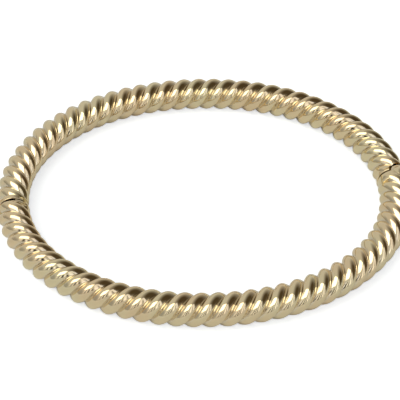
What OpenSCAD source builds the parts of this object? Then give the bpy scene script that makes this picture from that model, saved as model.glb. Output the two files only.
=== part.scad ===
// Hinged oval bangle of twisted gold wire, lying flat.
// Millimetres. +Z is up, +X is the long way of the oval, and the origin is on the
// surface under the middle of the oval.

/* [Oval] */
// Half length of the oval, along the middle of the wires
oval_half_length = 31.6; // [28:0.1:36]
// Half width of the oval, along the middle of the wires
oval_half_width = 26.7; // [22:0.1:32]
// Squareness of the oval, where 2 is an ellipse
oval_power = 2.05; // [2:0.01:2.3]
// Place of the hinge round the oval, in degrees from its long way
hinge_turn = 2.3; // [-8:0.1:8]
// Place of the clasp round the oval, in degrees from its long way
clasp_turn = 183.5; // [172:0.1:188]

/* [Twisted wires] */
// Number of wires twisted together
wires = 3; // [2:1:5]
// Radius over the crests of the wires
crest_r = 2.68; // [2.55:0.01:3.2]
// Depth of the groove between two wires
groove_depth = 0.75; // [0.3:0.05:1.05]
// Fullness of a wire's crown, where 0.5 is an ellipse and 1 a parabola
crown_power = 0.95; // [0.5:0.01:1]
// Distance between two crests along the front half
front_pitch = 2.61; // [2:0.01:3.4]
// Distance between two crests along the back half
back_pitch = 2.59; // [2:0.01:3.4]
// Turn of the wires at the middle of the front half, in degrees
front_wire_turn = 94; // [0:1:120]
// Turn of the wires at the middle of the back half, in degrees
back_wire_turn = 66; // [0:1:120]

/* [Seams] */
// Open slit between the two halves at each seam
seam_gap = 0.3; // [0.2:0.01:0.4]
// Radius of the plain end collars
collar_r = 2.5; // [2.35:0.01:2.6]
// Bevel on the rims of the collars
collar_bevel = 0.12; // [0.05:0.01:0.2]
// Length of the front half's collar at the hinge
front_hinge_collar = 1.7; // [1.2:0.1:2.4]
// Length of the back half's collar at the hinge
back_hinge_collar = 0.7; // [0.5:0.1:1.2]
// Length of the front half's collar at the clasp
front_clasp_collar = 0.6; // [0.5:0.1:1.2]
// Length of the back half's collar at the clasp
back_clasp_collar = 0.9; // [0.5:0.1:1.4]

/* [Hinge] */
// Distance of the hinge pin outwards from the middle of the wires
hinge_out = 1.1; // [1:0.01:1.4]
// Radius of the hinge knuckles
knuckle_r = 1.58; // [1.5:0.01:1.8]
// Height of the hinge barrel
barrel_height = 4.4; // [3.6:0.1:4.8]
// Height of the middle knuckle
middle_knuckle_height = 1.5; // [1:0.1:2]
// Gap between two knuckles, up the pin
knuckle_gap = 0.1; // [0.06:0.01:0.15]
// Gap round a knuckle, where the other half is cut back
knuckle_relief = 0.2; // [0.15:0.01:0.3]
// Rounding bevel on the ends of the barrel
barrel_bevel = 0.35; // [0.1:0.05:0.5]
// Radius of the hinge pin
pin_r = 0.55; // [0.4:0.01:0.7]
// Running clearance between the pin and its bore
pin_clearance = 0.05; // [0.02:0.01:0.08]
// Radius of the pin's round heads
pin_head_r = 0.95; // [0.8:0.01:1.1]
// Height of the pin's round heads
pin_head_height = 0.3; // [0.2:0.01:0.4]
// Gap under the pin's heads
pin_head_gap = 0.03; // [0.02:0.01:0.08]

/* [Clasp] */
// Width of the spring tongue
tongue_w = 2.1; // [1.8:0.1:2.3]
// Height of the spring tongue, over both leaves
tongue_h = 1.2; // [1:0.1:1.3]
// Reach of the tongue into the front half
tongue_reach = 3; // [2.2:0.1:3.6]
// Length of the tongue's root in the back half
tongue_root = 2; // [1.4:0.1:2.6]
// Slit between the tongue's two leaves
leaf_slit = 0.3; // [0.2:0.05:0.5]
// Length of solid tip where the two leaves are folded together
tongue_tip = 0.5; // [0.4:0.1:0.8]
// Gap round the tongue in the front half
tongue_gap = 0.25; // [0.2:0.01:0.3]
// Gap round the tongue's root in the back half
root_gap = 0.04; // [0.02:0.01:0.06]
// Width of the slit over the tongue, across the wires
slit_w = 1.7; // [1:0.1:1.9]
// Distance of the slit's middle outwards from the middle of the wires
slit_out = 0.4; // [0:0.1:0.4]
// Length of the slit along the wires, past the seam
slit_length = 0.3; // [0.1:0.05:0.4]

/* [Hidden] */
gold = "#c9a55c";
rings_per_turn = 11;
points_per_wire = 8;
table_step = 1;
slope_step = 0.2;
round_fn = 64;
over = 0.2;
far = 8;

// Height of the middle of the wires above the surface
axis_z = crest_r;
groove_r = crest_r - groove_depth;
bore_r = pin_r + pin_clearance;
relief_r = knuckle_r + knuckle_relief;
middle_half = middle_knuckle_height / 2;
barrel_half = barrel_height / 2;

// Point of the oval at a turn in degrees
function signed_power(v, p) = sign(v) * pow(abs(v), p);
function oval(t) = [
    oval_half_length * signed_power(cos(t), 2 / oval_power),
    oval_half_width * signed_power(sin(t), 2 / oval_power)
];

// Table of rows [length round the oval, turn], over two rounds
function length_rows(t, run) =
    t > 720 ? [] : concat([[run, t]], length_rows(t + table_step, run + norm(oval(t + table_step) - oval(t))));
turn_by_length = length_rows(-20, 0);
length_by_turn = [for (row = turn_by_length) [row[1], row[0]]];
function turn_at(s) = lookup(s, turn_by_length);
function length_at(t) = lookup(t, length_by_turn);

// Direction along the oval, and the outward direction, at a turn
function along(t) = let (d = oval(t + slope_step) - oval(t - slope_step)) d / norm(d);
function outward(t) = let (d = along(t)) [d[1], -d[0]];
function outward_angle(t) = let (n = outward(t)) atan2(n[1], n[0]);

// Section of the twisted wires: angle from a crest, and radius there
function wire_share(k) = sin(90 * (2 * k / points_per_wire - 1));
function wire_angle(w, k) = (w + wire_share(k) / 2) * 360 / wires;
function wire_radius(k) = groove_r + groove_depth * pow(1 - pow(wire_share(k), 2), crown_power);
section = [
    for (w = [0 : wires - 1], k = [0 : points_per_wire - 1]) [wire_angle(w, k), wire_radius(k)]
];

// One ring of points round the oval's line at length s, turned by twist
function ring(s, twist) =
    let (t = turn_at(s), c = oval(t), n = outward(t))
    [for (p = section) [
        c[0] + n[0] * p[1] * cos(p[0] + twist),
        c[1] + n[1] * p[1] * cos(p[0] + twist),
        axis_z + p[1] * sin(p[0] + twist)
    ]];

// Twisted wires from one turn of the oval to another, with a crest at middle_turn half way
module twisted_wires(from_turn, to_turn, from_inset, to_inset, pitch, middle_turn) {
    s_from = length_at(from_turn) + from_inset;
    s_to = length_at(to_turn) - to_inset;
    s_middle = (length_at(from_turn) + length_at(to_turn)) / 2;
    lead = wires * pitch;
    rings = ceil((s_to - s_from) / lead * rings_per_turn);
    sides = len(section);
    points = [
        for (i = [0 : rings])
            let (s = s_from + (s_to - s_from) * i / rings)
            each ring(s, middle_turn + 360 * (s - s_middle) / lead)
    ];
    skin = [
        for (i = [0 : rings - 1], j = [0 : sides - 1])
            let (a = i * sides + j, d = i * sides + (j + 1) % sides, b = a + sides, c = d + sides)
            each [[a, d, b], [d, c, b]]
    ];
    start_cap = [for (j = [sides - 1 : -1 : 0]) j];
    end_cap = [for (j = [0 : sides - 1]) rings * sides + j];
    polyhedron(points = points, faces = concat([start_cap], skin, [end_cap]), convexity = 10);
}

// Frame of a seam: X outwards, Y along the wires and Z up, from the middle of the wires
module at_seam(t) {
    c = oval(t);
    translate([c[0], c[1], axis_z]) rotate([0, 0, outward_angle(t)]) children();
}

// Plain collar along the wires from y_from, bevelled at both rims
module collar(y_from, length) {
    inner = collar_r - collar_bevel;
    translate([0, y_from, 0]) rotate([-90, 0, 0]) {
        cylinder(r1 = inner, r2 = collar_r, h = collar_bevel, $fn = round_fn);
        translate([0, 0, collar_bevel])
            cylinder(r = collar_r, h = length - 2 * collar_bevel, $fn = round_fn);
        translate([0, 0, length - collar_bevel])
            cylinder(r1 = collar_r, r2 = inner, h = collar_bevel, $fn = round_fn);
    }
}

// Upright cylinder on the hinge's axis between two heights
module on_hinge(r, low, high) {
    translate([hinge_out, 0, low]) cylinder(r = r, h = high - low, $fn = round_fn);
}

// Outer knuckle of the front half, from the middle knuckle's gap to the barrel's end
module outer_knuckle() {
    low = middle_half + knuckle_gap;
    on_hinge(knuckle_r, low, barrel_half - barrel_bevel);
    translate([hinge_out, 0, barrel_half - barrel_bevel])
        cylinder(r1 = knuckle_r, r2 = knuckle_r - barrel_bevel, h = barrel_bevel, $fn = round_fn);
}

// Room for the outer knuckles in the back half, at one end of the barrel
module outer_relief() {
    on_hinge(relief_r, middle_half, far);
}

// Room for the pin's head above the barrel
module head_room() {
    on_hinge(pin_head_r + pin_head_gap, barrel_half, far);
}

// Box in a seam's frame, given by its low and high corners
module block(low, high) {
    translate(low) cube(high - low);
}

// The tongue's outline in the front half, grown by a gap
module tongue_room(gap) {
    block([-tongue_w / 2 - gap, -over, -tongue_h / 2 - gap],
          [tongue_w / 2 + gap, tongue_reach + gap, tongue_h / 2 + gap]);
}

// Slit over the tongue, open at the top and at the end of the front half
module tongue_slit() {
    block([slit_out - slit_w / 2, -over, tongue_h / 2],
          [slit_out + slit_w / 2, seam_gap / 2 + slit_length, far]);
}

module front_half() {
    color(gold)
    difference() {
        union() {
            twisted_wires(clasp_turn, hinge_turn + 360, seam_gap / 2 + front_clasp_collar / 2,
                          seam_gap / 2 + front_hinge_collar / 2, front_pitch, front_wire_turn);
            at_seam(clasp_turn) collar(seam_gap / 2, front_clasp_collar);
            at_seam(hinge_turn) {
                collar(-seam_gap / 2 - front_hinge_collar, front_hinge_collar);
                outer_knuckle();
                mirror([0, 0, 1]) outer_knuckle();
            }
        }
        at_seam(hinge_turn) {
            on_hinge(relief_r, -middle_half - knuckle_gap, middle_half + knuckle_gap);
            on_hinge(bore_r, -far, far);
            head_room();
            mirror([0, 0, 1]) head_room();
        }
        at_seam(clasp_turn) {
            tongue_room(tongue_gap);
            tongue_slit();
        }
    }
}

module back_half() {
    color(gold)
    difference() {
        union() {
            difference() {
                union() {
                    twisted_wires(hinge_turn, clasp_turn, seam_gap / 2 + back_hinge_collar / 2,
                                  seam_gap / 2 + back_clasp_collar / 2, back_pitch, back_wire_turn);
                    at_seam(hinge_turn) collar(seam_gap / 2, back_hinge_collar);
                    at_seam(clasp_turn) collar(-seam_gap / 2 - back_clasp_collar, back_clasp_collar);
                }
                at_seam(hinge_turn) {
                    outer_relief();
                    mirror([0, 0, 1]) outer_relief();
                }
            }
            at_seam(hinge_turn) on_hinge(knuckle_r, -middle_half, middle_half);
        }
        at_seam(hinge_turn) on_hinge(bore_r, -far, far);
        at_seam(clasp_turn)
            block([-tongue_w / 2 - root_gap, -tongue_root - root_gap, -tongue_h / 2 - root_gap],
                  [tongue_w / 2 + root_gap, over, tongue_h / 2 + root_gap]);
    }
}

// Round head of the hinge pin, a cap cut from a ball
module pin_head() {
    ball_r = (pow(pin_head_r, 2) + pow(pin_head_height, 2)) / (2 * pin_head_height);
    base = barrel_half + pin_head_gap;
    intersection() {
        translate([hinge_out, 0, base + pin_head_height - ball_r]) sphere(r = ball_r, $fn = round_fn);
        on_hinge(pin_head_r, base, base + pin_head_height);
    }
}

module hinge_pin() {
    color(gold)
    at_seam(hinge_turn) {
        on_hinge(pin_r, -barrel_half - pin_head_gap, barrel_half + pin_head_gap);
        pin_head();
        mirror([0, 0, 1]) pin_head();
    }
}

// Two leaves folded together at the tip
module clasp_tongue() {
    color(gold)
    at_seam(clasp_turn)
        difference() {
            block([-tongue_w / 2, -tongue_root, -tongue_h / 2], [tongue_w / 2, tongue_reach, tongue_h / 2]);
            block([-far, -tongue_root - over, -leaf_slit / 2], [far, tongue_reach - tongue_tip, leaf_slit / 2]);
        }
}

front_half();
back_half();
hinge_pin();
clasp_tongue();
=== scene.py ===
"""Twisted wire bangle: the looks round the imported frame, with its floor, light and camera.

The two halves are made again as fine meshes, because the solids of the frame are coarse. Lengths are in
millimetres until a mesh is made, and they are the same as in the part's source.
"""

import math

import bpy
import numpy as np
from mathutils import Matrix, Vector


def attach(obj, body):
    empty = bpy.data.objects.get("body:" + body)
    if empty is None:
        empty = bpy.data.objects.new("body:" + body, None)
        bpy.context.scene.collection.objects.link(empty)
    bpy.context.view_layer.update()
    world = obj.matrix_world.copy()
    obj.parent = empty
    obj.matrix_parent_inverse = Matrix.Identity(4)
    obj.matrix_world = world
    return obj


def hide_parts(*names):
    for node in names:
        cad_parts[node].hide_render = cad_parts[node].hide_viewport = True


MM = 0.001

# The oval line through the middle of the wires
OVAL_HALF_LENGTH = 31.6
OVAL_HALF_WIDTH = 26.7
OVAL_POWER = 2.05
HINGE_TURN = 2.3
CLASP_TURN = 183.5

# The twisted wires
WIRES = 3
CREST_R = 2.68
GROOVE_DEPTH = 0.75
CROWN_POWER = 0.95
FRONT_PITCH = 2.61
BACK_PITCH = 2.59
FRONT_WIRE_TURN = 94.0
BACK_WIRE_TURN = 66.0
GROOVE_R = CREST_R - GROOVE_DEPTH

# The seams and the collars
SEAM_GAP = 0.3
COLLAR_R = 2.5
COLLAR_ROUND = 0.12
FRONT_HINGE_COLLAR = 1.7
BACK_HINGE_COLLAR = 0.7
FRONT_CLASP_COLLAR = 0.6
BACK_CLASP_COLLAR = 0.9

# The hinge
HINGE_OUT = 1.1
KNUCKLE_R = 1.58
BARREL_HALF = 2.2
MIDDLE_HALF = 0.75
KNUCKLE_GAP = 0.1
RELIEF_R = 1.78
BARREL_ROUND = 0.35
EDGE_ROUND = 0.06
BORE_R = 0.6
HEAD_ROOM_R = 0.98

# The clasp
TONGUE_W = 2.1
TONGUE_H = 1.2
TONGUE_REACH = 3.0
TONGUE_ROOT = 2.0
TONGUE_GAP = 0.25
ROOT_GAP = 0.04
SLIT_W = 1.7
SLIT_OUT = 0.4
SLIT_LENGTH = 0.3

# Fineness of the meshes
RINGS_PER_TURN = 60
POINTS_PER_WIRE = 24
TABLE_FROM = -20
TABLE_TO = 740
TABLE_STEP = 0.25
SLOPE_STEP = 0.2
LATHE_SIDES = 96
ROUND_STEPS = 5
SHARP_ANGLE = math.radians(38)
POINTS_AT_ONCE = 4000

# How far before a half's first turn, in degrees, a point still counts as past the full turn
WRAP_MARGIN = 90

# How far a cut runs past a face, and past the whole part
OVER = 0.2
FAR = 8.0


def oval(turn):
    """Points of the oval line at turns in degrees."""
    c, s = np.cos(np.radians(turn)), np.sin(np.radians(turn))
    power = 2 / OVAL_POWER
    return np.stack([OVAL_HALF_LENGTH * np.sign(c) * np.abs(c) ** power,
                     OVAL_HALF_WIDTH * np.sign(s) * np.abs(s) ** power], -1)


TURNS = np.arange(TABLE_FROM, TABLE_TO + TABLE_STEP / 2, TABLE_STEP)
LENGTHS = np.concatenate([[0], np.cumsum(np.linalg.norm(np.diff(oval(TURNS), axis=0), axis=1))])


def turn_at(length):
    """Turn of the oval, in degrees, at a length round it."""
    return np.interp(length, LENGTHS, TURNS)


def length_at(turn):
    """Length round the oval at a turn in degrees."""
    return np.interp(turn, TURNS, LENGTHS)


def line_frame(turn):
    """Point of the oval line, and the directions along it and outwards, at turns in degrees."""
    along = oval(turn + SLOPE_STEP) - oval(turn - SLOPE_STEP)
    along /= np.linalg.norm(along, axis=-1, keepdims=True)
    outward = np.stack([along[..., 1], -along[..., 0]], -1)
    return oval(turn), along, outward


def new_object(name, points, faces):
    """Object of a mesh whose points are given in millimetres."""
    mesh = bpy.data.meshes.new(name)
    mesh.from_pydata((np.asarray(points, float) * MM).tolist(), [], [tuple(map(int, f)) for f in faces])
    mesh.update()
    obj = bpy.data.objects.new(name, mesh)
    bpy.context.scene.collection.objects.link(obj)
    return obj


class Half:
    """One half of the bangle between two turns of the oval, and how its wires run."""

    def __init__(self, from_turn, to_turn, pitch, middle_turn):
        self.from_turn, self.to_turn = from_turn, to_turn
        self.lead = WIRES * pitch
        self.middle = (length_at(from_turn) + length_at(to_turn)) / 2
        self.middle_turn = middle_turn

    def twist(self, length):
        """Turn of the wires, in degrees, at a length round the oval."""
        return self.middle_turn + 360 * (length - self.middle) / self.lead


FRONT = Half(CLASP_TURN, HINGE_TURN + 360, FRONT_PITCH, FRONT_WIRE_TURN)
BACK = Half(HINGE_TURN, CLASP_TURN, BACK_PITCH, BACK_WIRE_TURN)


def twisted_wires(name, half, from_inset, to_inset):
    """Closed mesh of the twisted wires of a half, between two insets from its seams."""
    start = length_at(half.from_turn) + from_inset
    stop = length_at(half.to_turn) - to_inset
    rings = math.ceil((stop - start) / half.lead * RINGS_PER_TURN)
    lengths = np.linspace(start, stop, rings + 1)
    share = np.sin(np.pi / 2 * (2 * np.arange(POINTS_PER_WIRE) / POINTS_PER_WIRE - 1))
    angle = ((np.arange(WIRES)[:, None] + share / 2) * 360 / WIRES).ravel()
    radius = np.tile(GROOVE_R + GROOVE_DEPTH * (1 - share ** 2) ** CROWN_POWER, WIRES)
    centre, _, outward = line_frame(turn_at(lengths))
    theta = np.radians(angle[None] + half.twist(lengths)[:, None])
    x = centre[:, :1] + outward[:, :1] * radius * np.cos(theta)
    y = centre[:, 1:] + outward[:, 1:] * radius * np.cos(theta)
    z = CREST_R + radius * np.sin(theta)
    points = np.stack([x, y, z], -1).reshape(-1, 3)
    sides = len(angle)
    i, j = np.meshgrid(np.arange(rings), np.arange(sides), indexing="ij")
    a = i * sides + j
    b = i * sides + (j + 1) % sides
    skin = np.stack([a, b, b + sides, a + sides], -1).reshape(-1, 4)
    ends = np.array([[*centre[0], CREST_R], [*centre[-1], CREST_R]])
    first, last = len(points), len(points) + 1
    k = np.arange(sides)
    n = (k + 1) % sides
    start_cap = np.stack([n, k, np.full(sides, first)], -1)
    end_cap = np.stack([rings * sides + k, rings * sides + n, np.full(sides, last)], -1)
    faces = skin[:, ::-1].tolist() + start_cap[:, ::-1].tolist() + end_cap[:, ::-1].tolist()
    return new_object(name, np.concatenate([points, ends]), faces)


def seam_place(turn):
    """Matrix of a seam's frame: X outwards, Y along the wires, Z up, from the middle of the wires."""
    centre, along, outward = line_frame(np.float64(turn))
    place = Matrix.Identity(4)
    place.col[0][:2] = outward
    place.col[1][:2] = along
    place.col[3][:3] = (centre[0] * MM, centre[1] * MM, CREST_R * MM)
    return place


LOW_RIM, HIGH_RIM = 0, 1


def round_corner(r, h, radius, rim):
    """Points of a rounded corner at (r, h) of a lathe's profile, on its low rim or its high rim."""
    steps = np.linspace(0, math.pi / 2, ROUND_STEPS)
    if rim == LOW_RIM:
        return [(r - radius + radius * math.sin(t), h + radius - radius * math.cos(t)) for t in steps]
    return [(r - radius + radius * math.cos(t), h - radius + radius * math.sin(t)) for t in steps]


def lathe(name, profile, place, lying=False):
    """Solid turned from (radius, height) points, in a seam's frame, upright or lying along the wires."""
    angles = np.linspace(0, 2 * np.pi, LATHE_SIDES, endpoint=False)
    rings = [[(r * math.cos(a), r * math.sin(a), h) for a in angles] for r, h in profile]
    points = np.array(rings).reshape(-1, 3)
    points = np.concatenate([points, [(0, 0, profile[0][1]), (0, 0, profile[-1][1])]])
    faces = []
    for i in range(len(profile) - 1):
        for j in range(LATHE_SIDES):
            k = (j + 1) % LATHE_SIDES
            a, b = i * LATHE_SIDES, (i + 1) * LATHE_SIDES
            faces.append((a + j, a + k, b + k, b + j))
    low, high, top = len(points) - 2, len(points) - 1, (len(profile) - 1) * LATHE_SIDES
    for j in range(LATHE_SIDES):
        k = (j + 1) % LATHE_SIDES
        faces.append((k, j, low))
        faces.append((top + j, top + k, high))
    if lying:
        points = np.stack([points[:, 0], points[:, 2], -points[:, 1]], -1)
    obj = new_object(name, points, faces)
    obj.data.transform(place)
    return obj


def block(name, low, high, place):
    """Box in a seam's frame, given by its low and high corners."""
    corners = [(x, y, z) for x in (low[0], high[0]) for y in (low[1], high[1]) for z in (low[2], high[2])]
    faces = [(0, 1, 3, 2), (4, 6, 7, 5), (0, 4, 5, 1), (2, 3, 7, 6), (0, 2, 6, 4), (1, 5, 7, 3)]
    obj = new_object(name, corners, faces)
    obj.data.transform(place)
    return obj


def collar(name, place, y_from, length):
    """Plain collar along the wires with both rims rounded."""
    profile = (round_corner(COLLAR_R, y_from, COLLAR_ROUND, LOW_RIM)
               + round_corner(COLLAR_R, y_from + length, COLLAR_ROUND, HIGH_RIM))
    return lathe(name, profile, place, lying=True)


def on_hinge(place):
    """Place of the hinge's axis in the hinge seam's frame."""
    return place @ Matrix.Translation((HINGE_OUT * MM, 0, 0))


def outer_knuckle(name, place, side):
    """Outer knuckle above or below the middle one, rounded at the barrel's end."""
    low = MIDDLE_HALF + KNUCKLE_GAP
    profile = (round_corner(KNUCKLE_R, low, EDGE_ROUND, LOW_RIM)
               + round_corner(KNUCKLE_R, BARREL_HALF, BARREL_ROUND, HIGH_RIM))
    obj = lathe(name, profile, Matrix.Identity(4))
    flip(obj, side)
    obj.data.transform(on_hinge(place))
    return obj


def flip(obj, side):
    """Turns an upright piece over when side is below 0."""
    if side < 0:
        obj.data.transform(Matrix.Rotation(math.pi, 4, "X"))


def post(name, place, radius, low, high):
    """Plain upright cylinder on the hinge's axis."""
    return lathe(name, [(radius, low), (radius, high)], on_hinge(place))


def combine(base, tool, operation):
    """Adds tool to base, or cuts it away, and deletes tool."""
    step = base.modifiers.new(operation, "BOOLEAN")
    step.operation = operation
    step.solver = "MANIFOLD"
    step.object = tool
    graph = bpy.context.evaluated_depsgraph_get()
    mesh = bpy.data.meshes.new_from_object(base.evaluated_get(graph))
    base.modifiers.clear()
    old = base.data
    base.data = mesh
    bpy.data.meshes.remove(old)
    bpy.data.objects.remove(tool)
    mesh.name = base.name
    return base


def front_half():
    """Front half: wires, collars and outer knuckles, cut for the pin, the middle knuckle and the tongue."""
    hinge, clasp = seam_place(HINGE_TURN), seam_place(CLASP_TURN)
    edge = SEAM_GAP / 2
    obj = twisted_wires("twisted_front", FRONT,
                        edge + FRONT_CLASP_COLLAR / 2, edge + FRONT_HINGE_COLLAR / 2)
    combine(obj, collar("add", clasp, edge, FRONT_CLASP_COLLAR), "UNION")
    combine(obj, collar("add", hinge, -edge - FRONT_HINGE_COLLAR, FRONT_HINGE_COLLAR), "UNION")
    for side in (1, -1):
        combine(obj, outer_knuckle("add", hinge, side), "UNION")
    cut_half = MIDDLE_HALF + KNUCKLE_GAP
    combine(obj, post("cut", hinge, RELIEF_R, -cut_half, cut_half), "DIFFERENCE")
    combine(obj, post("cut", hinge, BORE_R, -FAR, FAR), "DIFFERENCE")
    combine(obj, post("cut", hinge, HEAD_ROOM_R, BARREL_HALF, FAR), "DIFFERENCE")
    combine(obj, post("cut", hinge, HEAD_ROOM_R, -FAR, -BARREL_HALF), "DIFFERENCE")
    half_w, half_h = TONGUE_W / 2 + TONGUE_GAP, TONGUE_H / 2 + TONGUE_GAP
    room = block("cut", (-half_w, -OVER, -half_h), (half_w, TONGUE_REACH + TONGUE_GAP, half_h), clasp)
    combine(obj, room, "DIFFERENCE")
    slit = block("cut", (SLIT_OUT - SLIT_W / 2, -OVER, TONGUE_H / 2),
                 (SLIT_OUT + SLIT_W / 2, edge + SLIT_LENGTH, FAR), clasp)
    combine(obj, slit, "DIFFERENCE")
    return obj


def back_half():
    """Back half: wires, collars and middle knuckle, cut for the outer knuckles, the pin and the tongue."""
    hinge, clasp = seam_place(HINGE_TURN), seam_place(CLASP_TURN)
    edge = SEAM_GAP / 2
    obj = twisted_wires("twisted_back", BACK,
                        edge + BACK_HINGE_COLLAR / 2, edge + BACK_CLASP_COLLAR / 2)
    combine(obj, collar("add", hinge, edge, BACK_HINGE_COLLAR), "UNION")
    combine(obj, collar("add", clasp, -edge - BACK_CLASP_COLLAR, BACK_CLASP_COLLAR), "UNION")
    combine(obj, post("cut", hinge, RELIEF_R, MIDDLE_HALF, FAR), "DIFFERENCE")
    combine(obj, post("cut", hinge, RELIEF_R, -FAR, -MIDDLE_HALF), "DIFFERENCE")
    profile = (round_corner(KNUCKLE_R, -MIDDLE_HALF, EDGE_ROUND, LOW_RIM)
               + round_corner(KNUCKLE_R, MIDDLE_HALF, EDGE_ROUND, HIGH_RIM))
    combine(obj, lathe("add", profile, on_hinge(hinge)), "UNION")
    combine(obj, post("cut", hinge, BORE_R, -FAR, FAR), "DIFFERENCE")
    half_w, half_h = TONGUE_W / 2 + ROOT_GAP, TONGUE_H / 2 + ROOT_GAP
    root = block("cut", (-half_w, -TONGUE_ROOT - ROOT_GAP, -half_h), (half_w, OVER, half_h), clasp)
    combine(obj, root, "DIFFERENCE")
    return obj


def finish_half(obj, half):
    """Smooth shading, and for each point where it lies on the wires, for the material."""
    mesh = obj.data
    mesh.shade_smooth()
    mesh.set_sharp_from_angle(angle=SHARP_ANGLE)
    points = np.empty(len(mesh.vertices) * 3, np.float32)
    mesh.vertices.foreach_get("co", points)
    points = points.reshape(-1, 3) / MM
    turns = np.arange(0, 360, TABLE_STEP)
    line = oval(turns)
    nearest = np.concatenate([((part[:, None, :2] - line) ** 2).sum(-1).argmin(1)
                              for part in np.array_split(points, 1 + len(points) // POINTS_AT_ONCE)])
    turn = turns[nearest]
    if half.to_turn > 360:
        turn = np.where(turn < half.from_turn - WRAP_MARGIN, turn + 360, turn)
    centre, along, outward = line_frame(turn)
    side = points[:, :2] - centre
    length = length_at(turn) + (side * along).sum(1)
    out = (side * outward).sum(1)
    up = points[:, 2] - CREST_R
    angle = np.arctan2(up, out) - np.radians(half.twist(length))
    radius = np.hypot(out, up)
    # How far down a groove each point lies, which sets the painted shade in the grooves
    groove = np.clip((CREST_R - radius) / GROOVE_DEPTH, 0, 1)
    depths = mesh.attributes.new("groove", "FLOAT", "POINT")
    depths.data.foreach_set("value", groove.astype(np.float32))
    run = np.stack([length, CREST_R * np.cos(angle), CREST_R * np.sin(angle)], -1)
    runs = mesh.attributes.new("run", "FLOAT_VECTOR", "POINT")
    runs.data.foreach_set("vector", run.astype(np.float32).ravel())
    return obj


# Camera: the place and the lens from which the photograph sees the oval, and its range in metres
CAMERA_BACK = 269.5
CAMERA_RISE = math.radians(41.94)
CAMERA_ROUND = math.radians(-6.0)
CAMERA_ROLL = math.radians(1.327)
CAMERA_AIM = (-0.757, -1.558)
CAMERA_LENS = 147.17
CAMERA_NEAR = 0.01
CAMERA_FAR = 20


def camera():
    """Camera at the photograph's viewing angle."""
    data = bpy.data.cameras.new("camera")
    data.lens = CAMERA_LENS
    data.clip_start = CAMERA_NEAR
    data.clip_end = CAMERA_FAR
    obj = bpy.data.objects.new("camera", data)
    bpy.context.scene.collection.objects.link(obj)
    round_up = Matrix.Rotation(CAMERA_ROUND, 4, "Z")
    aim = Matrix.Translation((CAMERA_AIM[0] * MM, CAMERA_AIM[1] * MM, 0))
    rise = Matrix.Rotation(math.pi / 2 - CAMERA_RISE, 4, "X")
    away = Matrix.Translation((0, 0, CAMERA_BACK * MM))
    roll = Matrix.Rotation(CAMERA_ROLL, 4, "Z")
    middle = Matrix.Translation((0, 0, CREST_R * MM))
    obj.matrix_world = middle @ round_up @ aim @ rise @ away @ roll
    bpy.context.scene.camera = obj


class Graph:
    """Short calls that make and join the nodes of a material or a world."""

    def __init__(self, owner):
        owner.use_nodes = True
        self.tree = owner.node_tree

    def node(self, kind, **settings):
        """New node with its settings."""
        made = self.tree.nodes.new(kind)
        for key, value in settings.items():
            setattr(made, key, value)
        return made

    def put(self, value, socket):
        """Joins a socket to value, or sets it to value."""
        if isinstance(value, bpy.types.NodeSocket):
            self.tree.links.new(value, socket)
        else:
            socket.default_value = value

    def fill(self, made, values):
        """Puts values into a node's first inputs."""
        for value, socket in zip(values, made.inputs):
            self.put(value, socket)
        return made

    def math(self, operation, *values):
        return self.fill(self.node("ShaderNodeMath", operation=operation), values).outputs[0]

    def vector(self, operation, *values):
        made = self.fill(self.node("ShaderNodeVectorMath", operation=operation), values)
        return made.outputs["Value" if operation == "DOT_PRODUCT" else "Vector"]

    def scaled(self, vector, factor):
        made = self.node("ShaderNodeVectorMath", operation="SCALE")
        self.put(vector, made.inputs["Vector"])
        self.put(factor, made.inputs["Scale"])
        return made.outputs["Vector"]

    def span(self, value, low, high, to_low=0.0, to_high=1.0, curve="SMOOTHSTEP"):
        """Maps value from low..high to to_low..to_high."""
        made = self.node("ShaderNodeMapRange", interpolation_type=curve)
        return self.fill(made, (value, low, high, to_low, to_high)).outputs[0]

    def noise(self, place, scale, detail=2.0, roughness=0.5):
        made = self.node("ShaderNodeTexNoise")
        self.put(place, made.inputs["Vector"])
        made.inputs["Scale"].default_value = scale
        made.inputs["Detail"].default_value = detail
        made.inputs["Roughness"].default_value = roughness
        return made.outputs["Fac"]

    def mix(self, factor, low, high):
        made = self.node("ShaderNodeMix", data_type="RGBA")
        self.put(factor, made.inputs["Factor"])
        self.put(low, made.inputs["A"])
        self.put(high, made.inputs["B"])
        return made.outputs["Result"]


# Gold: its two tones, the duller tone painted into the grooves as their shade, and how far down a groove
# that painted shade sets in
GOLD_LIGHT = (0.855, 0.745, 0.485, 1)
GOLD_DEEP = (0.87, 0.69, 0.44, 1)
GROOVE_SHADE_GOLD = (0.79, 0.70, 0.54, 1)
GROOVE_SHADE_SPAN = (0.35, 0.95)

# The cloud that mixes the two tones, to the metre
CLOUD_SCALE = 160.0
CLOUD_DETAIL = 2.0
CLOUD_SPAN = (0.35, 0.65)

# Streaks of the polish, to the millimetre along and across the wires, and the roughness that they give
STREAK_STRETCH = (0.5, 9.0, 9.0)
STREAK_SCALE = 1.0
STREAK_DETAIL = 3.0
STREAK_ROUGHNESS = 0.6
STREAK_SPAN = (0.35, 0.75)
POLISH_SPAN = (0.02, 0.06)

# Waviness of the surface, to the metre, with its height in metres
WAVE_SCALE = 900.0
WAVE_DETAIL = 1.0
STREAK_IN_WAVE = 0.25
WAVE_STRENGTH = 0.35
WAVE_HEIGHT = 0.00005


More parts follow.
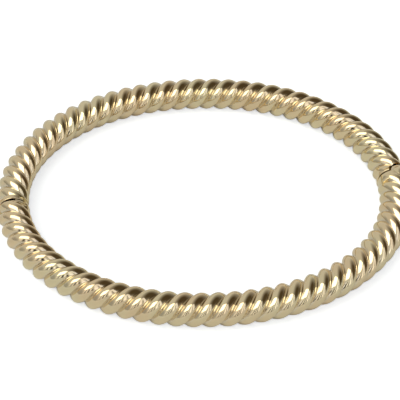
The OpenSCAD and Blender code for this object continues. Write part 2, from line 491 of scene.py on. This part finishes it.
def gold():
    """Polished gold: streaks of the polish along the wires, a little waviness, and painted shade in the
    grooves as a duller tone.
    """
    material = bpy.data.materials.new("polished_gold")
    graph = Graph(material)
    shader = graph.tree.nodes["Principled BSDF"]
    shader.inputs["Metallic"].default_value = 1
    run = graph.node("ShaderNodeAttribute", attribute_name="run").outputs["Vector"]
    groove = graph.node("ShaderNodeAttribute", attribute_name="groove").outputs["Fac"]
    place = graph.node("ShaderNodeTexCoord").outputs["Object"]
    streaks = graph.noise(graph.vector("MULTIPLY", run, STREAK_STRETCH),
                          STREAK_SCALE, STREAK_DETAIL, STREAK_ROUGHNESS)
    cloud = graph.noise(place, CLOUD_SCALE, CLOUD_DETAIL)
    tone = graph.mix(graph.span(cloud, *CLOUD_SPAN), GOLD_LIGHT, GOLD_DEEP)
    # Painted shade: the tone turns duller towards the bottom of each groove
    groove_shade = graph.span(groove, *GROOVE_SHADE_SPAN)
    graph.put(graph.mix(groove_shade, tone, GROOVE_SHADE_GOLD), shader.inputs["Base Color"])
    graph.put(graph.span(streaks, *STREAK_SPAN, *POLISH_SPAN), shader.inputs["Roughness"])
    wave = graph.noise(place, WAVE_SCALE, WAVE_DETAIL)
    height = graph.math("MULTIPLY_ADD", streaks, STREAK_IN_WAVE, wave)
    bump = graph.node("ShaderNodeBump")
    bump.inputs["Strength"].default_value = WAVE_STRENGTH
    bump.inputs["Distance"].default_value = WAVE_HEIGHT
    graph.put(height, bump.inputs["Height"])
    graph.put(bump.outputs["Normal"], shader.inputs["Normal"])
    return material


# Floor: half its side, its colour, and the colour and strength of the light that only the camera sees of it
FLOOR_HALF = 6000
FLOOR_WHITE = (0.81, 0.83, 0.86, 1)
FLOOR_ROUGHNESS = 0.7
FLOOR_TINT = (0.92, 0.955, 1, 1)
FLOOR_GLOW = 0.64


def floor():
    """Plain white floor under the bangle."""
    half = FLOOR_HALF
    corners = [(-half, -half, 0), (half, -half, 0), (half, half, 0), (-half, half, 0)]
    obj = new_object("floor", corners, [(0, 1, 2, 3)])
    material = bpy.data.materials.new("floor")
    graph = Graph(material)
    shader = graph.tree.nodes["Principled BSDF"]
    shader.inputs["Base Color"].default_value = FLOOR_WHITE
    shader.inputs["Emission Color"].default_value = FLOOR_TINT
    seen = graph.node("ShaderNodeLightPath").outputs["Is Camera Ray"]
    graph.put(graph.math("MULTIPLY", seen, FLOOR_GLOW), shader.inputs["Emission Strength"])
    shader.inputs["Roughness"].default_value = FLOOR_ROUGHNESS
    obj.data.materials.append(material)


def heading(azimuth, elevation):
    """Direction at an azimuth and an elevation in degrees."""
    a, e = math.radians(azimuth), math.radians(elevation)
    return Vector((math.cos(a) * math.cos(e), math.sin(a) * math.cos(e), math.sin(e)))


# Dark side of the studio: where it is, the light there and in the rest of the room, and where the one
# passes into the other, as the cosine of the angle from the dark side
DARK_HEADING = (2, 38)
DARK_LIGHT = (0.075, 0.055, 0.03)
ROOM_LIGHT = (0.60, 0.59, 0.56)
DARK_SPAN = (0.95, 0.42)

# Softboxes and dark cards of the studio: azimuth, elevation, roll, half width, half height, softness,
# brightness and colour. A dark card has a brightness below 0.
SOFTBOXES = (
    (-149, 60, 32, 0.43, 0.34, 0.12, 1.9, (1.0, 0.985, 0.84)),
    (-66, 36, 0, 0.13, 0.6, 0.2, 0.65, (0.98, 1.0, 1.08)),
    (-45, 34, 0, 0.09, 0.6, 0.2, 0.75, (0.98, 1.0, 1.08)),
    (-139, 26, 0, 0.16, 0.22, 0.3, 0.25, (1.0, 1.0, 1.05)),
    (-126, 20, 0, 0.07, 0.24, 0.15, -0.5, (1.0, 0.98, 0.93)),
    (-115, 22, 0, 0.05, 0.24, 0.15, 0.6, (1.0, 1.0, 1.05)),
    (-104, 20, 0, 0.08, 0.26, 0.15, -0.56, (1.0, 0.98, 0.93)),
    (-93, 23, 0, 0.05, 0.22, 0.15, 0.6, (1.0, 1.0, 1.05)),
    (-83, 17, 0, 0.06, 0.2, 0.15, -0.5, (1.0, 0.98, 0.93)),
    (180, 8, 0, 0.55, 0.3, 0.5, -0.25, (1.0, 0.95, 0.85)),
)
BACKDROP = (1.0, 1.0, 1.0, 1)

# Least share of a direction that faces a softbox, so that nothing is divided by zero
LEAST_FACING = 0.001


def softbox(graph, ray, azimuth, elevation, roll, half_width, half_height, soft, brightness, colour):
    """Light of one softbox, a soft-edged oblong seen from the middle of the scene."""
    facing = heading(azimuth, elevation)
    turn = Matrix.Rotation(math.radians(roll), 3, facing)
    across = turn @ facing.cross(Vector((0, 0, 1))).normalized()
    upward = across.cross(facing)
    front = graph.vector("DOT_PRODUCT", ray, tuple(facing))
    safe = graph.math("MAXIMUM", front, LEAST_FACING)
    share = None
    for axis, half in ((across, half_width), (upward, half_height)):
        offset = graph.math("DIVIDE", graph.vector("DOT_PRODUCT", ray, tuple(axis)), safe)
        inside = graph.span(graph.math("ABSOLUTE", offset), half * (1 + soft), half * (1 - soft))
        share = inside if share is None else graph.math("MULTIPLY", share, inside)
    share = graph.math("MULTIPLY", share, graph.math("GREATER_THAN", front, 0.0))
    return graph.scaled(tuple(c * brightness for c in colour), share)


def studio():
    """Studio light: a bright room with a dark side, softboxes and dark cards."""
    world = bpy.data.worlds.new("studio")
    bpy.context.scene.world = world
    graph = Graph(world)
    ray = graph.node("ShaderNodeTexCoord").outputs["Generated"]
    towards_dark = graph.vector("DOT_PRODUCT", ray, tuple(heading(*DARK_HEADING)))
    away = graph.span(towards_dark, *DARK_SPAN, curve="LINEAR")
    rise = tuple(room - dark for room, dark in zip(ROOM_LIGHT, DARK_LIGHT))
    light = graph.vector("ADD", graph.scaled(rise, away), DARK_LIGHT)
    for box in SOFTBOXES:
        light = graph.vector("ADD", softbox(graph, ray, *box), light)
    seen = graph.node("ShaderNodeLightPath").outputs["Is Camera Ray"]
    back = graph.tree.nodes["Background"]
    graph.put(graph.mix(seen, light, BACKDROP), back.inputs["Color"])
    back.inputs["Strength"].default_value = 1


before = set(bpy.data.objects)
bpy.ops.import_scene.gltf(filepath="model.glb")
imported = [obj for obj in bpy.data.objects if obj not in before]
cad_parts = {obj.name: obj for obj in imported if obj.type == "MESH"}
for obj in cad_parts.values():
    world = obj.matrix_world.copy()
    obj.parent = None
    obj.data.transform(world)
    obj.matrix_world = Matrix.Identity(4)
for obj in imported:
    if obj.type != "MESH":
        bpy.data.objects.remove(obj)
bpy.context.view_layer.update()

skin = gold()
HALVES = (
    (front_half, FRONT, "front_half", "front"),
    (back_half, BACK, "back_half", "back"),
)
for maker, half, node, body in HALVES:
    piece = finish_half(maker(), half)
    piece.data.materials.clear()
    piece.data.materials.append(skin)
    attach(piece, body)
    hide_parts(node)
for node in ("hinge_pin", "clasp_tongue"):
    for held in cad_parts[node].material_slots:
        held.material = skin

floor()
studio()
camera()
bpy.context.scene.view_settings.view_transform = "Standard"
